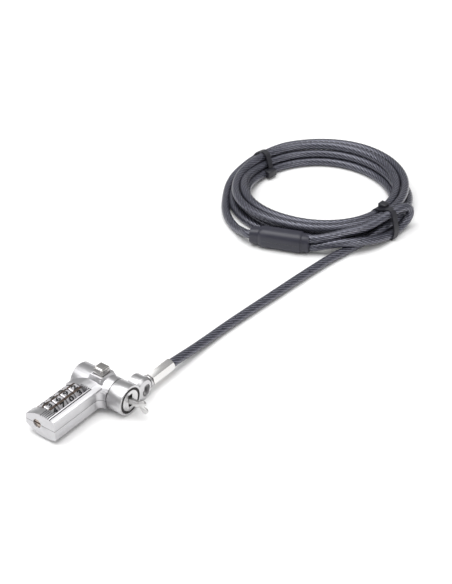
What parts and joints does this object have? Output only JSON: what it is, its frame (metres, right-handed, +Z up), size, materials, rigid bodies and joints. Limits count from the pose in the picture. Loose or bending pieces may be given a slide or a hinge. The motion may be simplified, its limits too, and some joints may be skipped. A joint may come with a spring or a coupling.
{
  "type": "combination cable lock",
  "caption": "T-shaped combination lock head with number dials, push button, spreading hooks and a swivel collar on a coiled steel cable with a crimped eye",
  "frame": {"origin": "Centre of the lock head's footprint on the surface it lies on, taken without the cable, ferrule and swivel pin", "axes": "+X along the barrel towards the nose and hooks, +Y from the handle's end towards the cable, +Z up, the side with the button"},
  "size_m": [0.1033, 0.2826, 0.0189],
  "materials": {
    "satin_zinc": "fine satin nickel over die-cast zinc",
    "collar_zinc": "satin nickel over die-cast zinc",
    "bright_chrome": "polished",
    "polished_steel": "polished, faceted",
    "plain_steel": "turned",
    "dark_steel": "blackened",
    "dial_metal": "satin with black digits",
    "brass": "turned",
    "spring_steel": "drawn wire",
    "jacketed_cable": "clear vinyl jacket over twisted steel strands",
    "moulded_sleeve": "satin moulded",
    "tie_plastic": "satin nylon"
  },
  "bodies": {
    "cable": {"swivel_pin": "plain_steel", "ferrule": "polished_steel", "cable_lead": "jacketed_cable", "cable_coil": "jacketed_cable", "cable_tail": "jacketed_cable", "cable_eye": "jacketed_cable", "crimp_sleeve": "moulded_sleeve", "tie_left": "tie_plastic", "tie_right": "tie_plastic"},
    "collar": {"swivel_collar": "collar_zinc"},
    "head": {"lower_shell": "satin_zinc", "upper_shell": "satin_zinc", "barrel_cap": "satin_zinc", "nose_tube": "plain_steel", "retaining_ring": "dark_steel", "friction_washer": "dark_steel", "hook_pin": "plain_steel", "shell_screws": "plain_steel", "bezel_pin": "plain_steel", "detent_strip": "spring_steel", "slider_spring": "spring_steel", "spindle_spring": "spring_steel"},
    "button": {"push_button": "bright_chrome"},
    "slider": {"cam_slider": "brass"},
    "spindle": {"spindle": "plain_steel"},
    "reset": {"reset_screw": "plain_steel"},
    "hook_up": {"upper_hook": "plain_steel"},
    "hook_down": {"lower_hook": "plain_steel"},
    "wheel_1": {"dial_1": "dial_metal", "clutch_sleeve_1": "brass"},
    "wheel_2": {"dial_2": "dial_metal", "clutch_sleeve_2": "brass"},
    "wheel_3": {"dial_3": "dial_metal", "clutch_sleeve_3": "brass"},
    "wheel_4": {"dial_4": "dial_metal", "clutch_sleeve_4": "brass"}
  },
  "joints": [
    {"name": "collar_swivel", "type": "hinge", "parent": "cable", "child": "collar", "pos_m": [0.00535, 0.0218, 0.0048], "axis": [0, 1, 0], "continuous": true},
    {"name": "head_turn", "type": "hinge", "parent": "collar", "child": "head", "pos_m": [0.00535, 0.0098, 0.0072], "axis": [1, 0, 0], "continuous": true},
    {"name": "dial_1_turn", "type": "hinge", "parent": "head", "child": "wheel_1", "pos_m": [-0.0118, -0.0191, 0.0072], "axis": [0, 1, 0], "continuous": true},
    {"name": "dial_2_turn", "type": "hinge", "parent": "head", "child": "wheel_2", "pos_m": [-0.0118, -0.0138, 0.0072], "axis": [0, 1, 0], "continuous": true},
    {"name": "dial_3_turn", "type": "hinge", "parent": "head", "child": "wheel_3", "pos_m": [-0.0118, -0.0085, 0.0072], "axis": [0, 1, 0], "continuous": true},
    {"name": "dial_4_turn", "type": "hinge", "parent": "head", "child": "wheel_4", "pos_m": [-0.0118, -0.0032, 0.0072], "axis": [0, 1, 0], "continuous": true},
    {"name": "button_press", "type": "slide", "parent": "head", "child": "button", "axis": [0, 0, -1], "range_m": [0, 0.0025], "stiffness_N_per_m": 600, "springref_m": -0.001},
    {"name": "cam_pull", "type": "slide", "parent": "head", "child": "slider", "axis": [-1, 0, 0], "range_m": [0, 0.0025], "deforming": ["slider_spring"]},
    {"name": "hook_up_close", "type": "hinge", "parent": "head", "child": "hook_up", "pos_m": [0.00355, 0.0092, 0.0072], "axis": [0, 1, 0], "range_deg": [0, 5]},
    {"name": "hook_down_close", "type": "hinge", "parent": "head", "child": "hook_down", "pos_m": [0.00355, 0.0104, 0.0072], "axis": [0, -1, 0], "range_deg": [0, 5]},
    {"name": "spindle_shift", "type": "slide", "parent": "head", "child": "spindle", "axis": [0, -1, 0], "range_m": [0, 0.001], "deforming": ["spindle_spring"]},
    {"name": "reset_turn", "type": "hinge", "parent": "head", "child": "reset", "pos_m": [-0.0118, -0.0254, 0.0072], "axis": [0, 1, 0], "range_deg": [0, 90]}
  ],
  "couplings": [
    {"joint": "cam_pull", "follows": "button_press", "ratio": 1},
    {"joint": "hook_up_close", "follows": "button_press", "rad_per_m": 34.9},
    {"joint": "hook_down_close", "follows": "button_press", "rad_per_m": 34.9},
    {"joint": "spindle_shift", "follows": "button_press", "ratio": 0.4}
  ]
}
